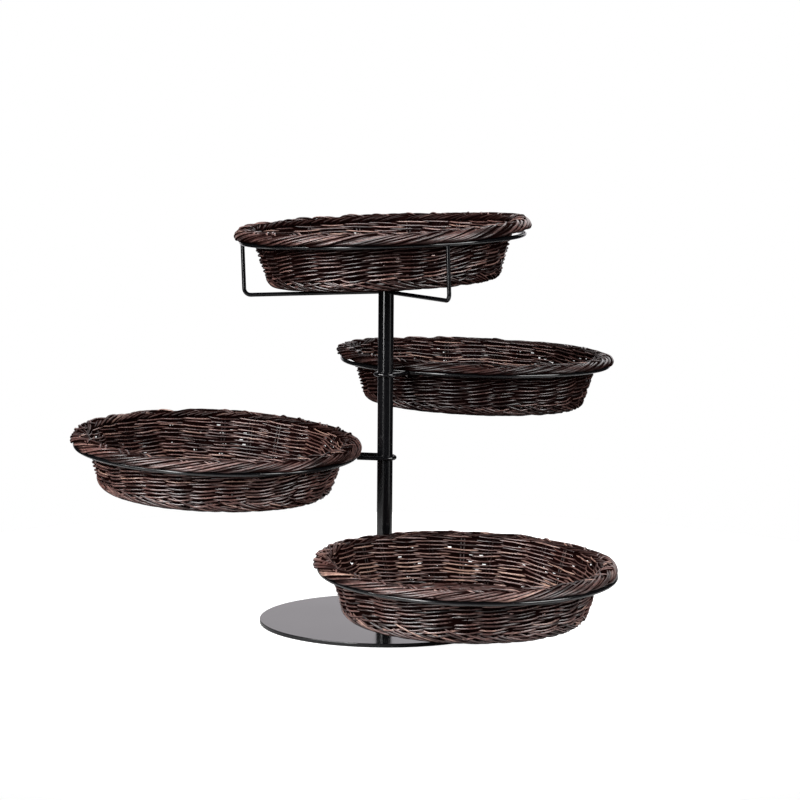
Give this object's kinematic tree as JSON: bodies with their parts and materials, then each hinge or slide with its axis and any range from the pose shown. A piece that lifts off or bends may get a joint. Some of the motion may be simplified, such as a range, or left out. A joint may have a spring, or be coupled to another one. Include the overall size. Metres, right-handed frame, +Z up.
{
  "type": "wicker basket display stand",
  "caption": "Counter-top display stand: a pole on a round base, with wire rings spiralling down it on short arms and a lift-out round willow basket in each ring.",
  "frame": {"origin": "middle of the base plate's underside, on the pole's axis", "axes": "+Z up the pole, -Y towards the front, where the lowest basket is, +X to the right"},
  "size_m": [0.673, 0.7053, 0.4946],
  "materials": {
    "black_coat": "satin black powder coat",
    "zinc": "bright zinc plate",
    "willow": "dark brown stain, satin"
  },
  "bodies": {
    "stand": {"base_plate": "black_coat", "pole": "black_coat", "carrier_hub": "black_coat", "low_ring": "black_coat", "low_arm": "black_coat", "mid_ring": "black_coat", "mid_arm": "black_coat", "high_ring": "black_coat", "high_arm": "black_coat", "top_ring": "black_coat", "carrier_leg_1": "black_coat", "carrier_leg_2": "black_coat", "carrier_leg_3": "black_coat", "base_screw": "zinc", "carrier_screw": "zinc", "pole_foot_plug": "zinc", "pole_top_plug": "zinc"},
    "low_basket": {"low_basket_base": "willow", "low_basket_siding": "willow", "low_basket_border": "willow"},
    "mid_basket": {"mid_basket_base": "willow", "mid_basket_siding": "willow", "mid_basket_border": "willow"},
    "high_basket": {"high_basket_base": "willow", "high_basket_siding": "willow", "high_basket_border": "willow"},
    "top_basket": {"top_basket_base": "willow", "top_basket_siding": "willow", "top_basket_border": "willow"}
  },
  "joints": [
    {"name": "low_basket_lift", "type": "slide", "parent": "stand", "child": "low_basket", "axis": [0.0164, -0.0308, 0.9994], "range_m": [0, 0.07]},
    {"name": "mid_basket_lift", "type": "slide", "parent": "stand", "child": "mid_basket", "axis": [0.0375, -0.0504, 0.998], "range_m": [0, 0.07]},
    {"name": "high_basket_lift", "type": "slide", "parent": "stand", "child": "high_basket", "axis": [0.0174, -0.0117, 0.9998], "range_m": [0, 0.07]},
    {"name": "top_basket_lift", "type": "slide", "parent": "stand", "child": "top_basket", "axis": [-0.0384, -0.0175, 0.9991], "range_m": [0, 0.07]}
  ]
}
